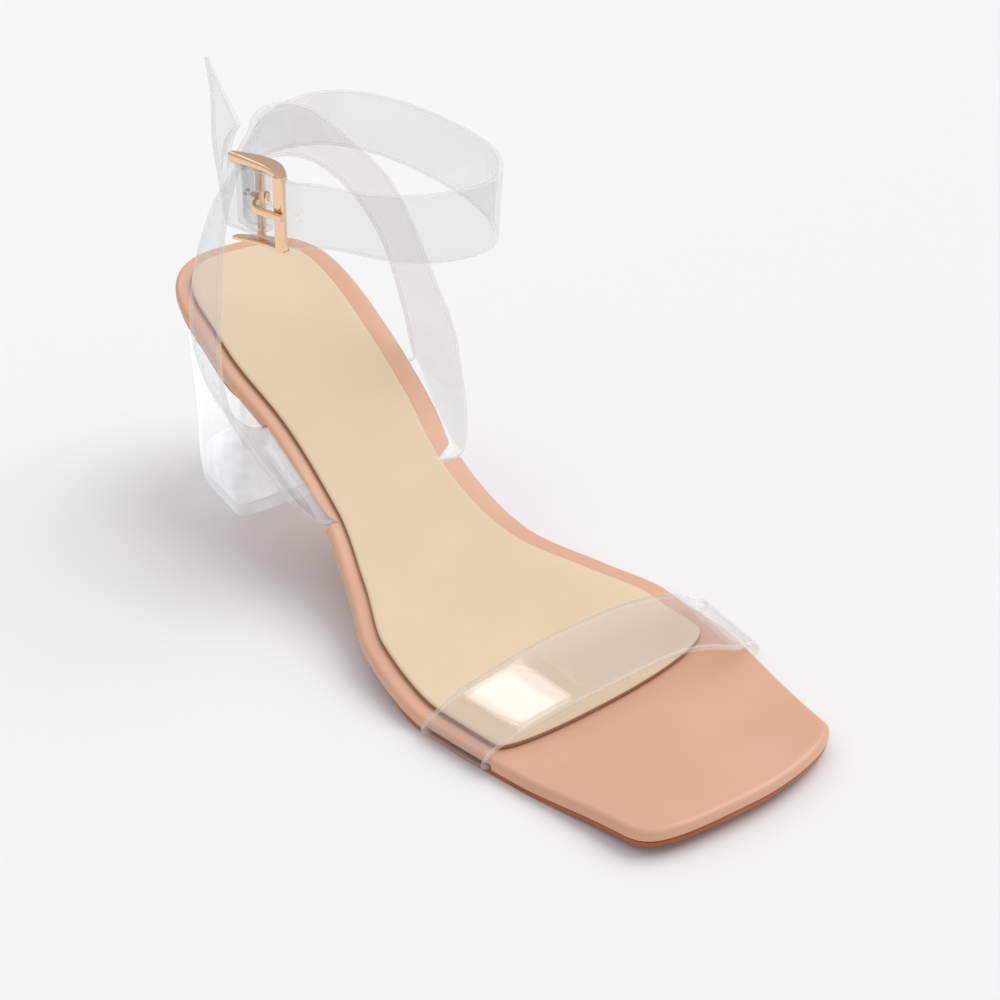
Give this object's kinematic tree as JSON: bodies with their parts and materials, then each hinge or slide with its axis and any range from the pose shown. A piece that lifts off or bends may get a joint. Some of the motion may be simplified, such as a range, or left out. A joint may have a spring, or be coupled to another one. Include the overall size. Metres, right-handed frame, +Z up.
{
  "type": "strappy heeled sandal",
  "caption": "Clear-strap sandal for the right foot, open at the toe and heel, with a square toe, crossing ankle straps, a pin buckle and a clear block heel.",
  "frame": {"origin": "on the floor, in the middle of the face under the heel's top piece", "axes": "+Z up, -Y towards the toe, +X towards the inner side of the foot"},
  "size_m": [0.0922, 0.249, 0.1441],
  "materials": {
    "brown_outsole": "smooth, satin",
    "nude_wrap": "smooth, semi-gloss",
    "beige_sock": "fine grain, matt, padded",
    "clear_strap": "clear soft vinyl, gloss",
    "clear_heel": "clear acrylic, polished",
    "rose_gold": "polished rose gold plate"
  },
  "bodies": {
    "root": {"outsole": "brown_outsole", "sole_board": "nude_wrap", "insole_sock": "beige_sock", "toe_strap": "clear_strap", "ankle_strap": "clear_strap", "buckle_frame": "rose_gold", "buckle_prong": "rose_gold", "heel_block": "clear_heel", "heel_top_piece": "clear_heel"}
  },
  "joints": []
}
